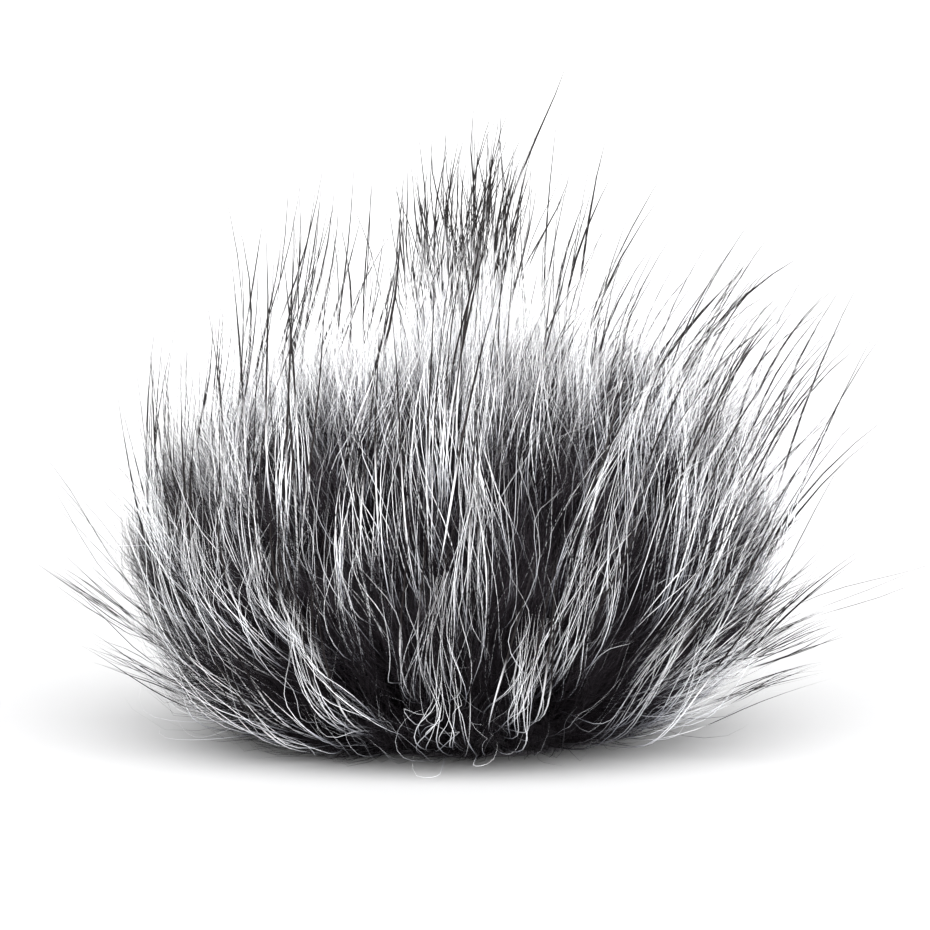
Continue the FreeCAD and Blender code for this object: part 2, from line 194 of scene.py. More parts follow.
SPIKE_HAIR = {
    **LOCK_HAIR,
    "count": 720,
    "patch": 3.2,
    "beyond": (14, 52),
    "thick": 0.21,
    "segments": 14,
    "gather": 0.55,
    "wander": 0.006,
    "bow": 0.36,
    "straight": 0.66,
    "pale": 0.0,
    "banding": "tip",
}
CROWN_HAIR = {
    **PLAIN,
    "count": 50,
    "locks": 9,
    "band": (78, 120),
    "aside": -3,
    "lean": 8,
    "beyond": (20, 46),
    "thick": 0.17,
    "segments": 12,
    "gather": 0.35,
    "wander": 0.02,
    "astray": 9,
    "bend": 3.5,
    "banding": "tip",
}
WISP_HAIR = {
    **PLAIN,
    "count": 70,
    "locks": 8,
    "band": (-60, -26),
    "flare": 14,
    "beyond": (32, 70),
    "thick": 0.085,
    "segments": 14,
    "gather": 0.93,
    "wander": 0.015,
    "astray": 5,
    "bend": 3,
    "banding": "tip",
}

LOW_REACH = 0.6  # how far low strands pass the undercoat's edge, as a share of how far high ones do
REACH_GROWS = (-30, 15)  # root angles between which that reach grows to its full length
LEAN_FULL_X = 0.8 * BAG_R  # where the right side's lean is full
ROOT_SOFT = 6  # how softly each kind thins out at the ends of its band, in degrees
ROOT_DIP = -0.1  # how steeply downwards roots may point, as the sine of the angle
EDGE_SHARES = (0.3, 0.9)  # the least and the most of a strand's length that the undercoat hides
FLOOR_GAP = 0.1 * MM
FLOOR_SPREAD = 1.0 * MM  # how much higher than that gap some strands stay
PARTING_GAP = 1.4 * MM  # clear space between the fur and the cord lock
PARTING_SPREAD = 2.0 * MM
FLOOR_EASE = 2.0 * MM  # how gently strands bend up off the floor


# ---- small helpers -----------------------------------


def unit(vectors):
    length = np.linalg.norm(vectors, axis=-1, keepdims=True)
    return vectors / np.maximum(length, 1e-12)


def smooth_step(value, low, high):
    t = np.clip((value - low) / (high - low), 0, 1)
    return t * t * (3 - 2 * t)


def mix(a, b, share):
    return a + (b - a) * share


def mesh_from_arrays(name, vertices, loops, starts, uv=None):
    """A mesh from flat arrays: vertex places, the loops' vertex numbers and each face's first loop."""
    mesh = bpy.data.meshes.new(name)
    mesh.vertices.add(len(vertices))
    mesh.vertices.foreach_set("co", np.ascontiguousarray(vertices, dtype=np.float32).ravel())
    mesh.loops.add(len(loops))
    mesh.loops.foreach_set("vertex_index", np.ascontiguousarray(loops, dtype=np.int32))
    mesh.polygons.add(len(starts))
    mesh.polygons.foreach_set("loop_start", np.ascontiguousarray(starts, dtype=np.int32))
    mesh.polygons.foreach_set("use_smooth", np.ones(len(starts), dtype=bool))
    if uv is not None:
        layer = mesh.uv_layers.new(name="OFBake")
        layer.data.foreach_set("uv", np.ascontiguousarray(uv[loops], dtype=np.float32).ravel())
    mesh.update(calc_edges=True)
    return mesh


def repeated_faces(name, vertices, faces, count, stride, uv=None):
    """A mesh of count equal parts of stride vertices each, with the same faces on every part."""
    pattern = np.array([v for face in faces for v in face])
    sizes = np.array([len(face) for face in faces])
    firsts = np.concatenate([[0], np.cumsum(sizes)[:-1]])
    offset = np.arange(count)[:, None]
    loops = (pattern[None, :] + offset * stride).ravel()
    starts = (firsts[None, :] + offset * len(pattern)).ravel()
    return mesh_from_arrays(name, vertices, loops, starts, uv)


def new_object(name, data):
    made = bpy.data.objects.new(name, data)
    bpy.context.collection.objects.link(made)
    return made


def apply_modifiers(item):
    """Give an object the mesh that its modifiers make of it."""
    ready = item.evaluated_get(bpy.context.evaluated_depsgraph_get())
    item.data = bpy.data.meshes.new_from_object(ready)
    item.modifiers.clear()


def add_piece(name, mesh, material, body, replaced=()):
    piece = new_object(name, mesh)
    piece.data.materials.append(material)
    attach(piece, body)
    if replaced:
        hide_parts(*replaced)
    return piece


# ---- strands as closed tapering tubes ----------------


def tube_faces(rings, corners):
    """A tube's closed root and the squares between its rings of vertices."""
    faces = [list(range(corners))[::-1]]
    for i in range(rings - 1):
        for j in range(corners):
            k = (j + 1) % corners
            faces.append([i * corners + j, i * corners + k, (i + 1) * corners + k, (i + 1) * corners + j])
    return faces


def strand_mesh(name, points, radii, tone, along):
    """One mesh of many strands, each a three-sided tube, closed at its root and pointed at its tip."""
    count, rings, _ = points.shape
    corners = 3
    tangent = unit(np.gradient(points, axis=1))
    across = np.stack([-points[:, 0, 1], points[:, 0, 0], np.zeros(count)], axis=1)
    across = unit(across + [1e-6, 0, 0])[:, None, :]
    side = unit(across - tangent * np.sum(across * tangent, axis=2, keepdims=True))
    other = np.cross(tangent, side)
    body = rings - 1
    angle = 2 * math.pi * np.arange(corners) / corners
    ring = side[:, :body, None, :] * np.cos(angle)[:, None]
    ring = ring + other[:, :body, None, :] * np.sin(angle)[:, None]
    ring = points[:, :body, None, :] + radii[:, :body, None, None] * ring
    per_strand = body * corners + 1
    vertices = np.concatenate([ring.reshape(count, -1, 3), points[:, -1:]], axis=1).reshape(-1, 3)

    faces = tube_faces(body, corners)
    for j in range(corners):
        k = (j + 1) % corners
        faces.append([(body - 1) * corners + j, (body - 1) * corners + k, per_strand - 1])
    v_ring = np.repeat(along[:, :body], corners, axis=1)
    v_all = np.concatenate([v_ring, along[:, -1:]], axis=1)
    u_all = np.repeat(tone[:, None], per_strand, axis=1)
    uv = np.stack([u_all, v_all], axis=2).reshape(-1, 2)
    return repeated_faces(name, vertices, faces, count, per_strand, uv)


# ---- where strands grow, and which way ---------------


def backing_face(side):
    """Triangles of the outer face of one gore's backing: corners, normals and areas."""
    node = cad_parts[f"fur_backing_{side}"]
    mesh = node.data
    mesh.calc_loop_triangles()
    matrix = np.array(node.matrix_world)
    place = vertex_places(mesh) @ matrix[:3, :3].T + matrix[:3, 3]
    index = np.empty(len(mesh.loop_triangles) * 3, dtype=np.int32)
    mesh.loop_triangles.foreach_get("vertices", index)
    corners = place[index.reshape(-1, 3)]
    normal = np.cross(corners[:, 1] - corners[:, 0], corners[:, 2] - corners[:, 0])
    area = np.linalg.norm(normal, axis=1) / 2
    normal = unit(normal)
    middle = corners.mean(axis=1)
    heart = np.array([0, 0, HEART_Z])
    outward = unit(middle - heart)
    outward[middle[:, 2] < HEM_TOP, 2] = 0
    keep = np.sum(normal * unit(outward), axis=1) > FACING
    return corners[keep], normal[keep], area[keep]


def root_angle(places):
    """The angle of places on the bag above its heart, in degrees."""
    radius = np.linalg.norm(places[:, :2], axis=1)
    return np.degrees(np.arctan2(places[:, 2] - HEART_Z, radius))


def sample_roots(rng, side, count, band):
    """Places spread evenly over the gore's ground in the band of root angles, and directions off it."""
    corners, normal, area = backing_face(side)
    angle = root_angle(corners.mean(axis=1))
    starts = smooth_step(angle, band[0] - ROOT_SOFT, band[0] + ROOT_SOFT)
    ends = smooth_step(angle, band[1] - ROOT_SOFT, band[1] + ROOT_SOFT)
    weight = area * starts * (1 - ends)
    pick = rng.choice(len(area), size=count, p=weight / weight.sum())
    a = np.sqrt(rng.random(count))[:, None]
    b = rng.random(count)[:, None]
    tri = corners[pick]
    place = tri[:, 0] * (1 - a) + tri[:, 1] * a * (1 - b) + tri[:, 2] * a * b
    square = normal[pick].copy()
    square[:, 2] = np.maximum(square[:, 2], ROOT_DIP)
    return place, unit(square)


def lock_middles(rng, side, count, band):
    """Roots of locks, spread evenly: each is the one furthest from all before it."""
    places, square = sample_roots(rng, side, count * 8, band)
    chosen = [0]
    gap = np.linalg.norm(places - places[0], axis=1)
    while len(chosen) < count:
        chosen.append(int(gap.argmax()))
        gap = np.minimum(gap, np.linalg.norm(places - places[chosen[-1]], axis=1))
    return places[chosen], square[chosen]


def in_cord_parting(points):
    """True where a point is in the parting that the cord and its lock lie in, behind the eyelet."""
    low, high = PARTING
    inside_x = (points[..., 0] > low[0]) & (points[..., 0] < high[0])
    return inside_x & (points[..., 1] > low[1]) & (points[..., 2] < high[2])


def set_parting():
    """Corners of the room that the cord lock needs wherever it slides to."""
    lock_low, lock_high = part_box("cord_lock_body")
    button_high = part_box("cord_lock_plunger")[1]
    low = (lock_low[0] - PARTING_GAP, 0.0, -1.0)
    high = (button_high[0] + PARTING_GAP, 1.0, lock_high[2] + PARTING_GAP)
    return low, high


PARTING = set_parting()


def away_from_axis(places):
    flat = places * [1, 1, 0]
    return flat / np.maximum(np.linalg.norm(flat, axis=1, keepdims=True), 1e-9)


def coat_edge(roots, lift):
    """Where the undercoat ends over each root, or over a place higher up by the kind's lift."""
    angles, edge_r, edge_z = np.array(COAT_EDGE, dtype=float).T
    angle = root_angle(roots) + lift
    far = np.interp(angle, angles, edge_r) * MM
    high = np.interp(angle, angles, edge_z) * MM
    high = high + COAT_TILT * away_from_axis(roots)[:, 0] * far * smooth_step(angle, 0, 30)
    aside = BASE_ASIDE * MM * (1 - smooth_step(angle, -50, -15))
    return away_from_axis(roots) * far[:, None] + np.stack([aside, 0 * aside, high], axis=1)


def heading(rng, roots, kind):
    """The way strands point at their ends: up, fanned away from the axis and leaning to the right."""
    angles, fan = np.array(FAN, dtype=float).T
    angle = root_angle(roots) + kind["lift"]
    fan = np.radians(np.interp(angle, angles, fan) + kind["flare"])[:, None]
    lean = np.radians(kind["lean"] + LEAN_RIGHT * smooth_step(roots[:, :1], 0, LEAN_FULL_X))
    goal = away_from_axis(roots) * np.sin(fan) + np.cos(fan) * ([0, 0, 1] + np.tan(lean) * [1, 0, 0])
    return unit(unit(goal) + rng.normal(0, math.radians(kind["astray"]), roots.shape))


def sweep(rng, kind, roots, square, beyond):
    """Curves that leave the backing square to it and end along their headings, past the undercoat's edge."""
    goals = heading(rng, roots, kind)
    beyond = beyond * mix(LOW_REACH, 1.0, smooth_step(root_angle(roots), *REACH_GROWS))
    edge = coat_edge(roots, kind["lift"]) + [kind["aside"] * MM, 0, 0]
    tips = edge + goals * beyond[:, None] + rng.normal(0, kind["bend"] * MM, roots.shape)
    t = np.linspace(0, 1, kind["segments"] + 1)[None, :, None]
    span = np.linalg.norm(tips - roots, axis=1, keepdims=True)
    near = roots + square * span * kind["bow"]
    far = tips - goals * span * kind["straight"]
    a, b, c, d = (p[:, None, :] for p in (roots, near, far, tips))
    return a * (1 - t) ** 3 + 3 * b * t * (1 - t) ** 2 + 3 * c * t**2 * (1 - t) + d * t**3


def gathered(kind, paths, guides, pull):
    """Strands drawn in to their lock's middle strand as they near its end."""
    t = np.linspace(0, 1, kind["segments"] + 1)
    draw = pull[:, None, None] * smooth_step(t, *kind["draw"])[None, :, None]
    return mix(paths, guides, draw)


def waves(rng, kind, count):
    """Slow wander of each strand off its curve, as a share of its length."""
    t = np.linspace(0, 1, kind["segments"] + 1)
    phase = rng.random((count, 3, 2)) * 2 * math.pi
    turns = mix(0.5, 1.8, rng.random((count, 3, 2)))
    swing = np.sin(2 * math.pi * turns[:, None, :, :] * t[None, :, None, None] + phase[:, None, :, :])
    swing -= np.sin(phase)[:, None, :, :]
    return swing.sum(axis=3) * t[None, :, None] * kind["wander"]


def grow(rng, side, kind):
    """Strands of one kind on one gore: places along each, its lock, and where it leaves the undercoat.

    Kinds with as many locks in the same band have the same locks.
    """
    band = kind["band"]
    lock_rng = np.random.default_rng([GRAIN, SIDES.index(side), kind["locks"]])
    roots, square = sample_roots(rng, side, kind["count"], band)
    lock_roots, lock_square = lock_middles(lock_rng, side, kind["locks"], band)
    lock = nearest_index(roots, lock_roots)
    off_middle = np.linalg.norm(roots - lock_roots[lock], axis=1)
    patch = kind["patch"] * MM * mix(0.5, 1.0, rng.random(len(roots)))
    keep = ~in_cord_parting(roots) & (off_middle < patch)
    roots = roots[keep]
    square = square[keep]
    lock = lock[keep]
    count = len(roots)

    low, high = (limit * MM for limit in kind["beyond"])
    lock_beyond = mix(low, high, lock_rng.random(kind["locks"]))
    guides = sweep(lock_rng, kind, lock_roots, lock_square, lock_beyond)
    beyond = lock_beyond[lock] + (high - low) * rng.normal(0, 0.16, count)
    paths = sweep(rng, kind, roots, square, beyond)
    pull = kind["gather"] * mix(0.7, 1.0, rng.random(count))
    paths = gathered(kind, paths, guides[lock], pull)
    span = np.linalg.norm(paths[:, -1] - roots, axis=1)
    paths = paths + waves(rng, kind, count) * span[:, None, None]
    edge_at = np.clip(1 - beyond / span, *EDGE_SHARES)
    return keep_clear(rng, paths), lock, edge_at


def keep_clear(rng, paths):
    """Strands bend up off the floor instead of passing through it, and part over the cord and its lock."""
    high = PARTING[1]
    count = len(paths)
    ground = FLOOR_GAP + rng.random(count)[:, None] * FLOOR_SPREAD
    over = paths[..., 2] - ground
    paths[..., 2] = ground + (over + np.sqrt(over**2 + FLOOR_EASE**2)) / 2
    caught = in_cord_parting(paths)
    lift = high[2] + rng.random(count)[:, None] * PARTING_SPREAD
    paths[..., 2] = np.where(caught, np.maximum(paths[..., 2], lift), paths[..., 2])
    return paths


def nearest_index(points, centres, block=2000):
    found = np.empty(len(points), dtype=np.int64)
    for start in range(0, len(points), block):
        part = points[start : start + block]
        distance = ((part[:, None, :] - centres[None, :, :]) ** 2).sum(axis=2)
        found[start : start + block] = distance.argmin(axis=1)
    return found


# ---- materials ---------------------------------------


def new_material(name):
    material = bpy.data.materials.new(name)
    material.use_nodes = True
    nodes = material.node_tree.nodes
    return material, nodes, material.node_tree.links, nodes["Principled BSDF"]


def ramp_node(nodes, stops):
    ramp = nodes.new("ShaderNodeValToRGB")
    elements = ramp.color_ramp.elements
    while len(elements) < len(stops):
        elements.new(0.5)
    for element, (place, colour) in zip(elements, stops):
        element.position = place
        element.color = (*colour, 1)
    return ramp


def hair_material(name, pale_stops, dark_stops, roughness, gloss, sheen=0.0):
    """Colour runs along the strand (UV v), between two versions by the strand's own tone (UV u)."""
    material, nodes, links, shader = new_material(name)
    uv = nodes.new("ShaderNodeUVMap")
    uv.uv_map = "OFBake"
    split = nodes.new("ShaderNodeSeparateXYZ")
    links.new(uv.outputs["UV"], split.inputs[0])
    pale = ramp_node(nodes, pale_stops)
    dark = ramp_node(nodes, dark_stops)
    links.new(split.outputs["Y"], pale.inputs["Fac"])
    links.new(split.outputs["Y"], dark.inputs["Fac"])
    blend = nodes.new("ShaderNodeMix")
    blend.data_type = "RGBA"
    links.new(split.outputs["X"], blend.inputs["Factor"])
    links.new(dark.outputs["Color"], blend.inputs["A"])
    links.new(pale.outputs["Color"], blend.inputs["B"])
    links.new(blend.outputs["Result"], shader.inputs["Base Color"])
    shader.inputs["Roughness"].default_value = roughness
    shader.inputs["Specular IOR Level"].default_value = gloss
    shader.inputs["Sheen Weight"].default_value = sheen
    return material


# ---- build the fur -----------------------------------

BLACK_FROM = 0.66  # where the black tip begins in the colours of the black-tipped hair
BLACK_STARTS = (0.55, 0.78)  # the shares of those hairs' lengths at which the black may begin
PALE_FROM = 0.6  # where the halo hair turns pale in its colours, as it leaves the undercoat


def fur_materials():
    # Every fibre's colours start from dark at the root and darken towards it: partly the fibres' own
    # near-black, partly painted shade deep in the fur between the strands.
    dark = (0.006, 0.0048, 0.006)
    # The undercoat grows darker towards its roots: partly its own near-black, partly painted shade deep in
    # the fur.
    undercoat = hair_material(
        "undercoat_fibre",
        [
            (0.0, dark),
            (0.6, (0.010, 0.0078, 0.010)),
            (0.88, (0.022, 0.018, 0.022)),
            (1.0, (0.06, 0.053, 0.061)),
        ],
        [(0.0, (0.003, 0.0022, 0.003)), (0.7, (0.006, 0.0046, 0.006)), (1.0, (0.015, 0.012, 0.015))],
        0.6,
        0.1,
    )
    fine = hair_material(
        "fine_hair_fibre",
        [(0.0, dark), (0.48, (0.04, 0.04, 0.046)), (0.66, (0.42, 0.43, 0.46)), (0.85, (0.93, 0.94, 0.96))],
        [
            (0.0, dark),
            (0.6, (0.024, 0.022, 0.027)),
            (0.85, (0.07, 0.068, 0.078)),
            (1.0, (0.22, 0.22, 0.24)),
        ],
        0.45,
        0.3,
    )
    white = hair_material(
        "guard_hair_fibre",
        [
            (0.0, dark),
            (0.26, (0.05, 0.05, 0.06)),
            (0.40, (0.40, 0.41, 0.46)),
            (0.54, (0.96, 0.97, 1.0)),
            (1.0, (0.97, 0.97, 0.98)),
        ],
        [
            (0.0, dark),
            (0.38, (0.03, 0.03, 0.036)),
            (0.58, (0.22, 0.23, 0.27)),
            (0.8, (0.66, 0.67, 0.70)),
            (1.0, (0.8, 0.8, 0.81)),
        ],
        0.38,
        0.5,
    )
    halo = hair_material(
        "halo_hair_fibre",
        [
            (0.0, dark),
            (0.5, (0.03, 0.03, 0.034)),
            (PALE_FROM - 0.03, (0.4, 0.4, 0.43)),
            (0.66, (0.97, 0.97, 0.98)),
        ],
        [
            (0.0, dark),
            (0.52, (0.02, 0.02, 0.024)),
            (PALE_FROM, (0.3, 0.3, 0.33)),
            (0.72, (0.95, 0.95, 0.96)),
        ],
        0.45,
        0.4,
        sheen=0.5,
    )
    tipped = hair_material(
        "black_tipped_fibre",
        [
            (0.0, dark),
            (0.25, (0.30, 0.30, 0.33)),
            (0.45, (0.92, 0.93, 0.96)),
            (BLACK_FROM - 0.06, (0.90, 0.90, 0.92)),
            (BLACK_FROM + 0.02, (0.016, 0.013, 0.013)),
            (0.9, (0.010, 0.008, 0.008)),
            (1.0, (0.06, 0.055, 0.055)),
        ],
        [
            (0.0, dark),
            (0.30, (0.10, 0.10, 0.11)),
            (0.5, (0.6, 0.6, 0.63)),
            (BLACK_FROM - 0.08, (0.55, 0.54, 0.55)),
            (BLACK_FROM + 0.02, (0.010, 0.008, 0.008)),
            (0.9, (0.007, 0.006, 0.006)),
            (1.0, (0.04, 0.036, 0.036)),
        ],
        0.5,
        0.15,
    )
    return undercoat, fine, white, halo, tipped


def even_taper(t):
    """Share of a strand's radius along it: nearly even to begin with, then drawn out to a fine tip."""
    return mix(1.0, 0.12, smooth_step(t, 0.45, 1.0)) * mix(0.85, 1.0, smooth_step(t, 0, 0.2))


def tipped_taper(t):
    """Share of the radius of a black-tipped hair: slender below, stoutest where the black begins."""
    swell = mix(0.4, 1.0, smooth_step(t, 0.3, BLACK_FROM + 0.06))
    return swell * mix(1.0, 0.08, smooth_step(t, BLACK_FROM + 0.1, 1.0))


def turned_at(t, start, place):
    """Each point's place in its material's colours; the strand reaches the given place at start."""
    return np.where(t < start, place * t / start, place + (1 - place) * (t - start) / (1 - start))


def add_strands(rng, side, name, kind, material, slot, parts=1):
    """Grow one kind of strand on one gore and add it as closed tubes, in one piece or a few."""
    paths, lock, edge_at = grow(rng, side, kind)
    count = len(paths)
    t = np.linspace(0, 1, paths.shape[1])[None, :].repeat(count, axis=0)
    lock_tone = rng.random(kind["locks"])[lock]
    tone = np.clip(mix(lock_tone, rng.random(count), 0.5) + kind["pale"], 0, 1)
    stout = mix(0.7, 1.25, rng.random(count))
    along = np.clip(t + rng.normal(0, 0.05, (count, 1)) * np.sin(math.pi * t), 0, 1)
    share = even_taper(t)
    if kind["banding"] == "edge":
        along = turned_at(t, edge_at[:, None], PALE_FROM)
    if kind["banding"] == "tip":
        start = mix(*BLACK_STARTS, rng.random(count))[:, None]
        along = turned_at(t, start, BLACK_FROM)
        share = tipped_taper(along)
        stout = mix(0.45, 1.4, rng.random(count) ** 1.5)
    radii = kind["thick"] * MM * share * stout[:, None]
    for number, group in enumerate(np.array_split(np.arange(count), parts)):
        part_name = f"{name}_{side}" + (f"_{number + 1}" if parts > 1 else "")
        mesh = strand_mesh(part_name, paths[group], radii[group], tone[group], along[group])
        add_piece(part_name, mesh, material, "muff", [f"{slot}_{side}"])


def build_fur():
    undercoat, fine, white, halo, tipped = fur_materials()
    for number, side in enumerate(SIDES):
        rng = np.random.default_rng(GRAIN + number)
        beside = side in ("left", "right")
        guard_hair = [
            ("fine_hair", FINE_HAIR, fine),
            ("hair_locks", LOCK_HAIR, white),
            ("halo_hair", HALO_HAIR if beside else HIGH_HALO_HAIR, halo),
            ("flyaway_hair", FLYAWAY_HAIR, white),
            ("black_tipped_hair", SPIKE_HAIR, tipped),
            ("crown_tuft", CROWN_HAIR, tipped),
        ]
        if beside:
            guard_hair.append(("low_wisps", WISP_HAIR, tipped))
        add_strands(rng, side, "undercoat_fibres", UNDERCOAT, undercoat, "undercoat", parts=2)
        for name, kind, material in guard_hair:
            add_strands(rng, side, name, kind, material, "guard_hair")


# ---- cord, linings and hardware ----------------------

CORD_BEND = 2 * MM  # where the cord turns out through the eyelet
BRAID_STRANDS = 4  # in each direction
BRAID_PITCH = 5 * MM
BRAID_STEP = 0.2 * MM
BRAID_STRAND_SHARE = 0.25  # a strand's radius as a share of the cord's
BRAID_WAVE_SHARE = 0.09  # and how far strands rise and dip as they cross
STITCH_VERTICES = 170  # of each CAD stitch
PLY_TURNS = 2.2  # of the two plies round each other in one stitch
KNIT_WALES = 24  # columns of knit stitches across one gore
KNIT_COURSES = 38  # rows of them up the bag
KNIT_DEPTH = 0.25 * MM
GATHERS = 14  # folds across one gore, where the bag is drawn in at its hem
GATHER_DEPTH = 0.35 * MM
GATHER_FADE_Z = (10 * MM, 26 * MM)
GORE_GAP_DEG = 0.15
OUTLINE_FACING = 0.5  # least cosine between the way out and the normals that count for an outline
GRID_PER_STITCH = 4  # mesh squares across one knit stitch
NET_COLUMNS = 52
NET_ROWS = 48
NET_WIRE = 0.4 * MM
SPRING_TURNS = 5.5
SPRING_WIRE_R = 0.28 * MM
SPRING_CLOSED = 0.1  # share of the coil at each end that is wound closed
EYELET_BORE_R = 3.95 * MM
EYELET_BORE_L = 8 * MM
FOAM_CELL = 2.1 * MM
FOAM_RIPPLES = 9
FOAM_PORE_DEPTH = 0.45 * MM
TAPE_FOLD_DEPTH = 0.22 * MM
TAPE_RIB = 0.9 * MM
TAPE_RIB_DEPTH = 0.07 * MM
TAPE_TWILL = 30  # how many ribs the tape's slanted weave gains in one radian round it
BAND_GROOVE_STEP = 1.5 * MM
BAND_GROOVE_DEPTH = 0.2 * MM
BAND_SKIN = (1.0 * MM, 0.5 * MM)  # how far inside the band's outer face its grooves fade out

RELIEF_NODES = {
    "grain": "ShaderNodeTexNoise",
    "pits": "ShaderNodeTexVoronoi",
    "ribs": "ShaderNodeTexWave",
}
MOTTLE_SCALE = 160  # of the noise that colour and gloss vary with, per metre
GLOSS_RANGE = 0.1
WAVE_TURN = math.pi / 10  # a wave texture's scale that gives one rib per unit

# Light and dark colour, roughness, relief (its kind, size and depth in mm), metallic and sheen.
FINISHES = {
    "knit_yarn": ((0.050, 0.046, 0.052), (0.028, 0.025, 0.030), 0.85, ("grain", 0.25, 0.08), 0, 0.3),
    "open_foam": ((0.060, 0.060, 0.064), (0.032, 0.032, 0.035), 0.92, ("pits", 0.9, 0.20), 0, 0),
    "net_yarn": ((0.055, 0.055, 0.060), (0.030, 0.030, 0.033), 0.7, ("ribs", 0.35, 0.05), 0, 0.2),
    "twill_tape": ((0.040, 0.040, 0.044), (0.022, 0.022, 0.025), 0.8, ("ribs", 0.7, 0.10), 0, 0.3),
    "sewing_thread": ((0.075, 0.075, 0.080), (0.040, 0.040, 0.045), 0.55, ("ribs", 0.3, 0.04), 0, 0),
    "braid_yarn": ((0.035, 0.034, 0.038), (0.016, 0.016, 0.018), 0.62, ("ribs", 0.22, 0.05), 0, 0.2),
    "grip_rubber_matt": ((0.034, 0.034, 0.036), (0.022, 0.022, 0.023), 0.72, ("grain", 0.4, 0.04), 0, 0),
    "nickel_plate": ((0.62, 0.61, 0.60), (0.42, 0.41, 0.40), 0.28, ("grain", 1.5, 0.02), 1, 0),
    "spring_wire": ((0.58, 0.58, 0.60), (0.40, 0.40, 0.42), 0.3, ("ribs", 0.5, 0.02), 1, 0),
    "moulded_black": ((0.030, 0.030, 0.033), (0.016, 0.016, 0.018), 0.42, ("grain", 0.3, 0.05), 0, 0),
    "moulded_graphite": ((0.075, 0.075, 0.082), (0.048, 0.048, 0.054), 0.38, ("grain", 0.3, 0.04), 0, 0),
    "tip_gloss": ((0.022, 0.022, 0.024), (0.012, 0.012, 0.013), 0.22, ("grain", 2.0, 0.02), 0, 0),
}
CAD_FINISHES = {
    "cord_lock_body": "moulded_black",
    "cord_lock_plunger": "moulded_graphite",
    "cord_tips": "tip_gloss",
    "cord_eyelet": "nickel_plate",
    "eyelet_washer": "nickel_plate",
}


def surface_material(name, light, dark, roughness, relief, metallic, sheen):
    """Colour and roughness that vary with a fine noise, over a bump."""
    material, nodes, links, shader = new_material(name)
    places = nodes.new("ShaderNodeTexCoord")
    mottle = nodes.new("ShaderNodeTexNoise")
    mottle.inputs["Scale"].default_value = MOTTLE_SCALE
    mottle.inputs["Detail"].default_value = 5
    links.new(places.outputs["Object"], mottle.inputs["Vector"])
    colours = ramp_node(nodes, [(0.32, dark), (0.68, light)])
    links.new(mottle.outputs["Fac"], colours.inputs["Fac"])
    links.new(colours.outputs["Color"], shader.inputs["Base Color"])
    polish = nodes.new("ShaderNodeMapRange")
    polish.inputs["To Min"].default_value = roughness - GLOSS_RANGE
    polish.inputs["To Max"].default_value = roughness + GLOSS_RANGE
    links.new(mottle.outputs["Fac"], polish.inputs["Value"])
    links.new(polish.outputs["Result"], shader.inputs["Roughness"])
    kind, size, depth = relief
    pattern = nodes.new(RELIEF_NODES[kind])
    pattern.inputs["Scale"].default_value = 1 / (size * MM)
    height = pattern.outputs["Distance" if kind == "pits" else "Fac"]
    if kind == "ribs":
        pattern.bands_direction = "DIAGONAL"
        pattern.inputs["Scale"].default_value = WAVE_TURN / (size * MM)
    links.new(places.outputs["Object"], pattern.inputs["Vector"])
    bump = nodes.new("ShaderNodeBump")
    bump.inputs["Strength"].default_value = 0.8
    bump.inputs["Distance"].default_value = depth * MM
    links.new(height, bump.inputs["Height"])
    links.new(bump.outputs["Normal"], shader.inputs["Normal"])
    shader.inputs["Metallic"].default_value = metallic
    shader.inputs["Sheen Weight"].default_value = sheen
    return material


def finish_node(node, material):
    """A carried-over CAD node gets its finished material."""
    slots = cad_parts[node].data.materials
    for index in range(len(slots)):
        slots[index] = material


def vertex_places(mesh):
    places = np.empty(len(mesh.vertices) * 3)
    mesh.vertices.foreach_get("co", places)
    return places.reshape(-1, 3)


def square_to(axis):
    """Two directions square to each axis and to each other."""
    guide = np.where(np.abs(axis[..., 2:]) > 0.9, [1.0, 0, 0], [0, 0, 1.0])
    side = unit(np.cross(guide, axis))
    return side, np.cross(axis, side)


def rope_mesh(name, middles, radius, corners=5):
    """One mesh of round strands of even thickness with closed ends; middles holds each strand's points."""
    count, rings, _ = middles.shape
    side, other = square_to(unit(np.gradient(middles, axis=1)))
    angle = 2 * math.pi * np.arange(corners) / corners
    ring = side[:, :, None, :] * np.cos(angle)[:, None] + other[:, :, None, :] * np.sin(angle)[:, None]
    vertices = (middles[:, :, None, :] + radius * ring).reshape(-1, 3)
    faces = tube_faces(rings, corners)
    faces.append([(rings - 1) * corners + j for j in range(corners)])
    return repeated_faces(name, vertices, faces, count, rings * corners)


def lengths_along(points):
    gaps = np.linalg.norm(np.diff(points, axis=0), axis=1)
    return np.concatenate([[0], np.cumsum(gaps)])


def even_steps(points, step):
    """The same path with points at even distances, and how far along it each one is."""
    along = lengths_along(points)
    wanted = np.linspace(0, along[-1], int(along[-1] / step) + 1)
    return np.stack([np.interp(wanted, along, values) for values in points.T], axis=1), wanted


def cord_path():
    """The drawcord's middle line, from one tail round the casing to the other tail, and its radius."""
    low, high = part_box("drawcord")
    cord_r = (high[2] - low[2]) / 2
    tip_low, tip_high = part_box("cord_tips")
    tail_x = tip_high[0] - (tip_high[2] - tip_low[2]) / 2
    loop_r = high[0] - cord_r
    reach = loop_r + CORD_BEND
    bend_x = tail_x + CORD_BEND
    bend_y = math.sqrt(reach**2 - bend_x**2)
    meet = math.atan2(bend_y, bend_x)
    turn = np.linspace(math.pi, math.pi + meet, 16)
    bend = np.stack([bend_x + CORD_BEND * np.cos(turn), bend_y + CORD_BEND * np.sin(turn)], axis=1)
    loop = np.linspace(meet, -math.pi - meet, 240)
    ring = loop_r * np.stack([np.cos(loop), np.sin(loop)], axis=1)
    half = np.concatenate([[[tail_x, high[1]]], bend])
    flat = np.concatenate([half, ring[1:-1], half[::-1] * [-1, 1]])
    middle_z = (low[2] + high[2]) / 2
    return np.concatenate([flat, np.full((len(flat), 1), middle_z)], axis=1), cord_r


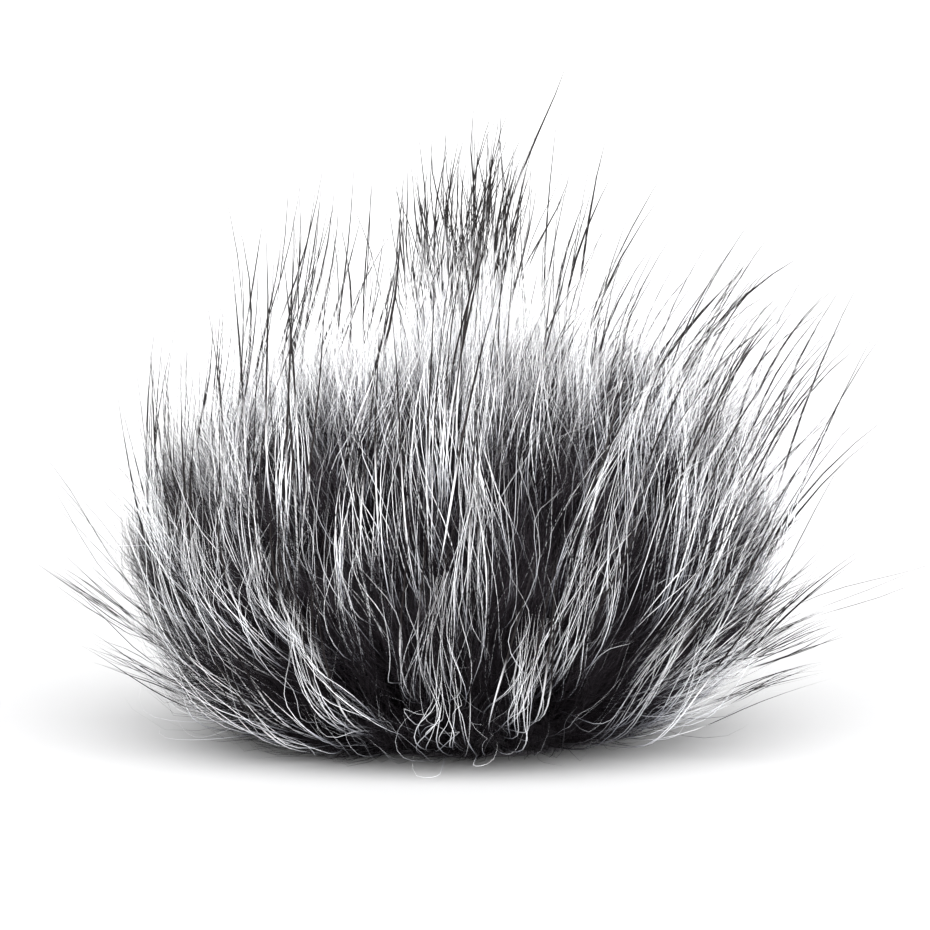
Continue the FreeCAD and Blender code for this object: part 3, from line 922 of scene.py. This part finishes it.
def build_drawcord(material):
    """A tubular braid: strands wind both ways round a core and pass over and under each other."""
    path, cord_r = cord_path()
    middle, along = even_steps(path, BRAID_STEP)
    side, up = square_to(unit(np.gradient(middle, axis=0)))
    strand_r = cord_r * BRAID_STRAND_SHARE
    wave = cord_r * BRAID_WAVE_SHARE
    ring_r = cord_r - strand_r - wave
    weave = np.cos(2 * math.pi * BRAID_STRANDS * along / BRAID_PITCH)
    strands = []
    for way in (-1, 1):
        for number in range(BRAID_STRANDS):
            angle = way * 2 * math.pi * along / BRAID_PITCH + 2 * math.pi * number / BRAID_STRANDS
            radius = (ring_r + way * wave * weave)[:, None]
            strands.append(middle + radius * (side * np.cos(angle)[:, None] + up * np.sin(angle)[:, None]))
    mesh = rope_mesh("drawcord_braid", np.array(strands), strand_r)
    add_piece("drawcord_braid", mesh, material, "muff", ["drawcord"])
    core, _ = even_steps(path, 1.0 * MM)
    mesh = rope_mesh("drawcord_core", core[None], ring_r, corners=10)
    add_piece("drawcord_core", mesh, material, "muff", ["drawcord"])


def build_stitches(node, material):
    """Each stitch as two plies of thread twisted round each other, in the place its CAD stitch holds."""
    stitches = vertex_places(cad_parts[node].data).reshape(-1, STITCH_VERTICES, 3)
    middle = (stitches.min(axis=1) + stitches.max(axis=1)) / 2
    spread = stitches - middle[:, None, :]
    axis = np.linalg.svd(spread, full_matrices=False)[2][:, 0]
    lengthwise = np.einsum("sij,sj->si", spread, axis)
    half = np.abs(lengthwise).max(axis=1)
    thread_r = np.linalg.norm(spread - lengthwise[..., None] * axis[:, None, :], axis=2).max()
    side, other = square_to(axis)
    t = np.linspace(-1, 1, 15)
    plies = []
    for phase in (0, math.pi):
        angle = math.pi * PLY_TURNS * t + phase
        off = side[:, None, :] * np.cos(angle)[:, None] + other[:, None, :] * np.sin(angle)[:, None]
        lie = middle[:, None, :] + axis[:, None, :] * (half[:, None] * t)[..., None]
        plies.append(lie + thread_r / 2 * off)
    mesh = rope_mesh(f"{node}_plies", np.concatenate(plies), thread_r / 2)
    add_piece(f"{node}_plies", mesh, material, "muff", [node])


def vertex_normals(mesh):
    normals = np.empty(len(mesh.vertices) * 3)
    mesh.vertices.foreach_get("normal", normals)
    return normals.reshape(-1, 3)


def node_outline(names, outer, bins=120):
    """The outline of a round shell on one side of it: radius and height, from the mouth up to the axis."""
    meshes = [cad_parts[name].data for name in names]
    places = np.concatenate([vertex_places(mesh) for mesh in meshes])
    normals = np.concatenate([vertex_normals(mesh) for mesh in meshes])
    facing = np.sum(normals * unit(places - [0, 0, HEART_Z]), axis=1) * (1 if outer else -1)
    places = places[facing > OUTLINE_FACING]
    flat = np.stack([np.linalg.norm(places[:, :2], axis=1), places[:, 2]], axis=1)
    offset = flat - [0, HEART_Z]
    angle = np.arctan2(offset[:, 1], offset[:, 0])
    distance = np.linalg.norm(offset, axis=1) * (1 if outer else -1)
    number = ((angle - angle.min()) / np.ptp(angle) * (bins - 1)).astype(int)
    chosen = []
    for index in range(bins):
        inside = np.flatnonzero(number == index)
        if len(inside):
            chosen.append(inside[np.argmax(distance[inside])])
    return flat[chosen]


def even_outline(outline, count):
    """Points at even distances along an outline, without its very end on the axis."""
    along = lengths_along(outline)
    wanted = np.linspace(0, along[-1] * 0.997, count)
    return np.stack([np.interp(wanted, along, values) for values in outline.T], axis=1)


def knit_relief(across, up):
    """Height of plain knit, 0 to 1: columns of V stitches. across and up count stitches."""
    slant = 0.7 * np.abs((across % 1) - 0.5)
    wale = np.abs(np.sin(math.pi * across)) ** 0.6
    return wale * (0.55 + 0.45 * np.cos(2 * math.pi * (up + slant)))


def build_backing(side, azimuth, material):
    """One gore of knit backing: a thin curved shell with its stitches, gathered at the hem."""
    names = [f"fur_backing_{name}" for name in SIDES]
    rows = KNIT_COURSES * GRID_PER_STITCH + 1
    columns = KNIT_WALES * GRID_PER_STITCH + 1
    outside = even_outline(node_outline(names, True), rows)
    inside = even_outline(node_outline(names, False), rows)
    half = math.radians(45 - GORE_GAP_DEG)
    turn = azimuth + np.linspace(-half, half, columns)
    across = np.linspace(0, KNIT_WALES, columns)[None, :]
    up = np.linspace(0, KNIT_COURSES, rows)[:, None]
    slope = unit(np.gradient(outside, axis=0))
    low, high = GATHER_FADE_Z
    drawn = 1 - smooth_step(outside[:, 1], low, high)[:, None]
    folds = 0.5 - 0.5 * np.cos(2 * math.pi * GATHERS * np.linspace(0, 1, columns))[None, :]
    sunk = KNIT_DEPTH * (1 - knit_relief(across, up)) + GATHER_DEPTH * drawn * folds

    def sheet(outline, sink):
        radius = outline[:, :1] - slope[:, 1:] * sink
        height = outline[:, 1:] + slope[:, :1] * sink
        return np.stack([radius * np.cos(turn), radius * np.sin(turn), height + 0 * radius], axis=2)

    outer = sheet(outside, sunk)
    inner = sheet(inside, np.zeros_like(sunk))
    mesh = slab_mesh(f"knit_backing_{side}", outer, inner)
    replaced = [f"fur_backing_{side}"]
    shell = add_piece(f"knit_backing_{side}", mesh, material, "muff", replaced)
    if side == "back":
        punch_eyelet_hole(shell)


def punch_eyelet_hole(shell):
    """Cut the hole that the eyelet's barrel passes through."""
    low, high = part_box("cord_eyelet")
    builder = bmesh.new()
    size = {"radius1": EYELET_BORE_R, "radius2": EYELET_BORE_R, "depth": EYELET_BORE_L}
    bmesh.ops.create_cone(builder, cap_ends=True, segments=48, **size)
    bmesh.ops.rotate(builder, verts=builder.verts, matrix=Matrix.Rotation(math.pi / 2, 3, "X"))
    bmesh.ops.translate(builder, verts=builder.verts, vec=(0, high[1], (low[2] + high[2]) / 2))
    punch_mesh = bpy.data.meshes.new("punch")
    builder.to_mesh(punch_mesh)
    builder.free()
    punch = new_object("punch", punch_mesh)
    cut = shell.modifiers.new("hole", "BOOLEAN")
    cut.object = punch
    cut.solver = "EXACT"
    apply_modifiers(shell)
    bpy.data.objects.remove(punch)


def slab_mesh(name, outer, inner):
    """A closed sheet between two grids of points of the same size."""
    rows, columns, _ = outer.shape
    number = np.arange(rows * columns).reshape(rows, columns)
    deep = number + rows * columns

    def quads(a, b, c, d):
        return np.stack([a.ravel(), b.ravel(), c.ravel(), d.ravel()], axis=1)

    faces = [
        quads(number[:-1, :-1], number[:-1, 1:], number[1:, 1:], number[1:, :-1]),
        quads(deep[:-1, :-1], deep[1:, :-1], deep[1:, 1:], deep[:-1, 1:]),
        quads(number[0, 1:], number[0, :-1], deep[0, :-1], deep[0, 1:]),
        quads(number[-1, :-1], number[-1, 1:], deep[-1, 1:], deep[-1, :-1]),
        quads(number[:-1, 0], number[1:, 0], deep[1:, 0], deep[:-1, 0]),
        quads(number[1:, -1], number[:-1, -1], deep[:-1, -1], deep[1:, -1]),
    ]
    loops = np.concatenate(faces).ravel()
    vertices = np.concatenate([outer.reshape(-1, 3), inner.reshape(-1, 3)])
    return mesh_from_arrays(name, vertices, loops, np.arange(0, len(loops), 4))


def remeshed(node, voxel):
    """A copy of a CAD node's mesh as even small quads."""
    copy = new_object(node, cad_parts[node].data.copy())
    change = copy.modifiers.new("even", "REMESH")
    change.mode = "VOXEL"
    change.voxel_size = voxel
    apply_modifiers(copy)
    mesh = copy.data
    bpy.data.objects.remove(copy)
    mesh.shade_smooth()
    return mesh


def sink_surface(mesh, depth):
    """Move each vertex inwards along its normal by depth(places)."""
    places = vertex_places(mesh)
    places -= vertex_normals(mesh) * depth(places)[:, None]
    mesh.vertices.foreach_set("co", places.ravel())
    mesh.update()


def foam_pores(places):
    """Depth of the open cells of foam, where many crossed ripples add up."""
    rng = np.random.default_rng(GRAIN)
    total = np.zeros(len(places))
    for _ in range(FOAM_RIPPLES):
        along = places @ unit(rng.normal(size=3)) * 2 * math.pi / FOAM_CELL
        total += np.sin(along * rng.uniform(0.8, 1.5) + rng.uniform(0, 6.3))
    return FOAM_PORE_DEPTH * smooth_step(total, 1.0, 3.5)


def tape_gathers(places):
    """Depth of the folds and the rib of a drawn-in woven tape."""
    turn = np.arctan2(places[:, 1], places[:, 0])
    folds = 0.5 - 0.5 * np.cos(turn * len(SIDES) * GATHERS)
    ribs = 0.5 - 0.5 * np.cos(2 * math.pi * (places[:, 2] / TAPE_RIB + turn * TAPE_TWILL))
    return TAPE_FOLD_DEPTH * folds + TAPE_RIB_DEPTH * ribs


def band_grooves(places):
    """Depth of the grooves that run round the band's inner face."""
    radius = np.linalg.norm(places[:, :2], axis=1)
    low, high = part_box("grip_band")
    inner = 1 - smooth_step(radius, high[0] - BAND_SKIN[0], high[0] - BAND_SKIN[1])
    level = (places[:, 2] - low[2]) / BAND_GROOVE_STEP
    return BAND_GROOVE_DEPTH * inner * smooth_step(np.cos(2 * math.pi * level), 0.3, 0.9)


def build_soft_shell(node, name, voxel, depth, material):
    mesh = remeshed(node, voxel)
    sink_surface(mesh, depth)
    mesh.materials.clear()
    add_piece(name, mesh, material, "muff", [node])


def build_net(material):
    """The lining as a net of crossing threads that are drawn together at the top."""
    outer = even_outline(node_outline(["mesh_lining"], True), NET_ROWS)
    inner = even_outline(node_outline(["mesh_lining"], False), NET_ROWS)
    profile = (outer + inner) / 2
    vertices = []
    for row, (radius, height) in enumerate(profile):
        for column in range(NET_COLUMNS):
            turn = 2 * math.pi * (column + 0.5 * (row % 2)) / NET_COLUMNS
            vertices.append((radius * math.cos(turn), radius * math.sin(turn), height))
    faces = []
    for row in range(NET_ROWS - 2):
        shift = row % 2
        for column in range(NET_COLUMNS):
            right = (column + shift) % NET_COLUMNS
            left = (column + shift - 1) % NET_COLUMNS
            corners = (row, column), (row + 1, right), (row + 2, column), (row + 1, left)
            faces.append([r * NET_COLUMNS + c for r, c in corners])
    mesh = bpy.data.meshes.new("lining_net")
    mesh.from_pydata(vertices, [], faces)
    net = add_piece("lining_net", mesh, material, "muff", ["mesh_lining"])
    wires = net.modifiers.new("threads", "WIREFRAME")
    wires.thickness = NET_WIRE
    wires.use_even_offset = False
    wires.use_boundary = True
    apply_modifiers(net)
    net.data.shade_smooth()


def build_spring(material):
    """Coil with closed end turns, from the lock's floor to the plunger."""
    low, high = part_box("cord_lock_spring")
    middle = (np.array(low) + np.array(high)) / 2
    coil_r = (high[1] - low[1]) / 2 - SPRING_WIRE_R
    t = np.linspace(0, 1, 260)
    even_rise = np.clip((t - SPRING_CLOSED) / (1 - 2 * SPRING_CLOSED), 0, 1)
    rise = mix(even_rise, smooth_step(t, SPRING_CLOSED, 1 - SPRING_CLOSED), 0.25)
    turn = 2 * math.pi * SPRING_TURNS * t
    x = low[0] + SPRING_WIRE_R + (high[0] - low[0] - 2 * SPRING_WIRE_R) * rise
    wire = np.stack([x, middle[1] + coil_r * np.cos(turn), middle[2] + coil_r * np.sin(turn)], axis=1)
    mesh = rope_mesh("spring_coil", wire[None], SPRING_WIRE_R, corners=8)
    coil = add_piece("spring_coil", mesh, material, "cord_lock", ["cord_lock_spring"])
    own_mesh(coil)


def build_hardware():
    finish = {name: surface_material(name, *values) for name, values in FINISHES.items()}
    for node, name in CAD_FINISHES.items():
        finish_node(node, finish[name])
    build_drawcord(finish["braid_yarn"])
    for node in ("gore_seam_thread", "hem_thread", "lining_thread"):
        build_stitches(node, finish["sewing_thread"])
    for number, side in enumerate(SIDES):
        build_backing(side, math.radians(90 * number - 90), finish["knit_yarn"])
    build_soft_shell("foam_liner", "foam_cup", 0.9 * MM, foam_pores, finish["open_foam"])
    tape = finish["twill_tape"]
    build_soft_shell("cord_casing", "gathered_casing", 0.35 * MM, tape_gathers, tape)
    rubber = finish["grip_rubber_matt"]
    build_soft_shell("grip_band", "grooved_grip_band", 0.3 * MM, band_grooves, rubber)
    build_net(finish["net_yarn"])
    build_spring(finish["spring_wire"])


# ---- stage -------------------------------------------


SWEEP_HALF = 3.0  # half the sweep's width, and its height, in metres
SWEEP_Y = 1.6  # where it stands upright behind the part
SWEEP_BEND = 0.8
SWEEP_COLOUR = (0.43, 0.43, 0.433, 1)
SKY_STRENGTH = 0.5  # as a light
SKY_SEEN = 1.0  # and as the camera sees it
SUN_ENERGY = 9.5
SUN_WIDTH = 95  # degrees of sky that the light fills
SUN_TURN = (52, 8)  # degrees of tilt towards the back, and of turn
LENS = 200  # millimetres, on a sensor 36 mm wide
SENSOR = 36
FRAME_WIDTH = 186 * MM  # what the picture is wide at the part
CAMERA_RISE = 6  # degrees above level
AIM_Z = 55 * MM


def build_stage():
    """A pale floor that curves up into a backdrop, under soft even light."""
    bend_y = SWEEP_Y - SWEEP_BEND
    profile = [(-SWEEP_HALF, 0.0), (bend_y, 0.0)]
    for angle in np.linspace(0, math.pi / 2, 17)[1:]:
        profile.append((bend_y + SWEEP_BEND * math.sin(angle), SWEEP_BEND * (1 - math.cos(angle))))
    profile.append((SWEEP_Y, SWEEP_HALF))
    vertices = [(x, y, z) for y, z in profile for x in (-SWEEP_HALF, SWEEP_HALF)]
    faces = [(2 * i, 2 * i + 1, 2 * i + 3, 2 * i + 2) for i in range(len(profile) - 1)]
    mesh = bpy.data.meshes.new("floor")
    mesh.from_pydata(vertices, [], faces)
    mesh.shade_smooth()
    floor = new_object("floor", mesh)
    material, _, _, shader = new_material("floor_paper")
    shader.inputs["Base Color"].default_value = SWEEP_COLOUR
    shader.inputs["Roughness"].default_value = 0.9
    floor.data.materials.append(material)

    world = bpy.data.worlds.new("studio")
    bpy.context.scene.world = world
    world.use_nodes = True
    nodes = world.node_tree.nodes
    background = nodes["Background"]
    background.inputs["Color"].default_value = (1, 1, 1, 1)
    rays = nodes.new("ShaderNodeLightPath")
    strength = nodes.new("ShaderNodeMapRange")
    strength.inputs["To Min"].default_value = SKY_STRENGTH
    strength.inputs["To Max"].default_value = SKY_SEEN
    world.node_tree.links.new(rays.outputs["Is Camera Ray"], strength.inputs["Value"])
    world.node_tree.links.new(strength.outputs["Result"], background.inputs["Strength"])

    sun = bpy.data.lights.new("soft_key", "SUN")
    sun.energy = SUN_ENERGY
    sun.angle = math.radians(SUN_WIDTH)
    lamp = new_object("soft_key", sun)
    tilt, turn = SUN_TURN
    lamp.rotation_euler = (math.radians(tilt), 0, math.radians(turn))


def build_camera():
    """Nearly level, from the front, at the distance of a telephoto lens."""
    camera_data = bpy.data.cameras.new("camera")
    camera_data.lens = LENS
    camera_data.sensor_width = SENSOR
    camera_data.clip_start = 0.01
    camera = new_object("camera", camera_data)
    distance = FRAME_WIDTH * LENS / SENSOR
    elevation = math.radians(CAMERA_RISE)
    camera.location = (0, -distance * math.cos(elevation), AIM_Z + distance * math.sin(elevation))
    camera.rotation_euler = (math.pi / 2 - elevation, 0, 0)
    bpy.context.scene.camera = camera


build_fur()
build_hardware()
build_stage()
build_camera()
bpy.context.scene.view_settings.view_transform = "Standard"
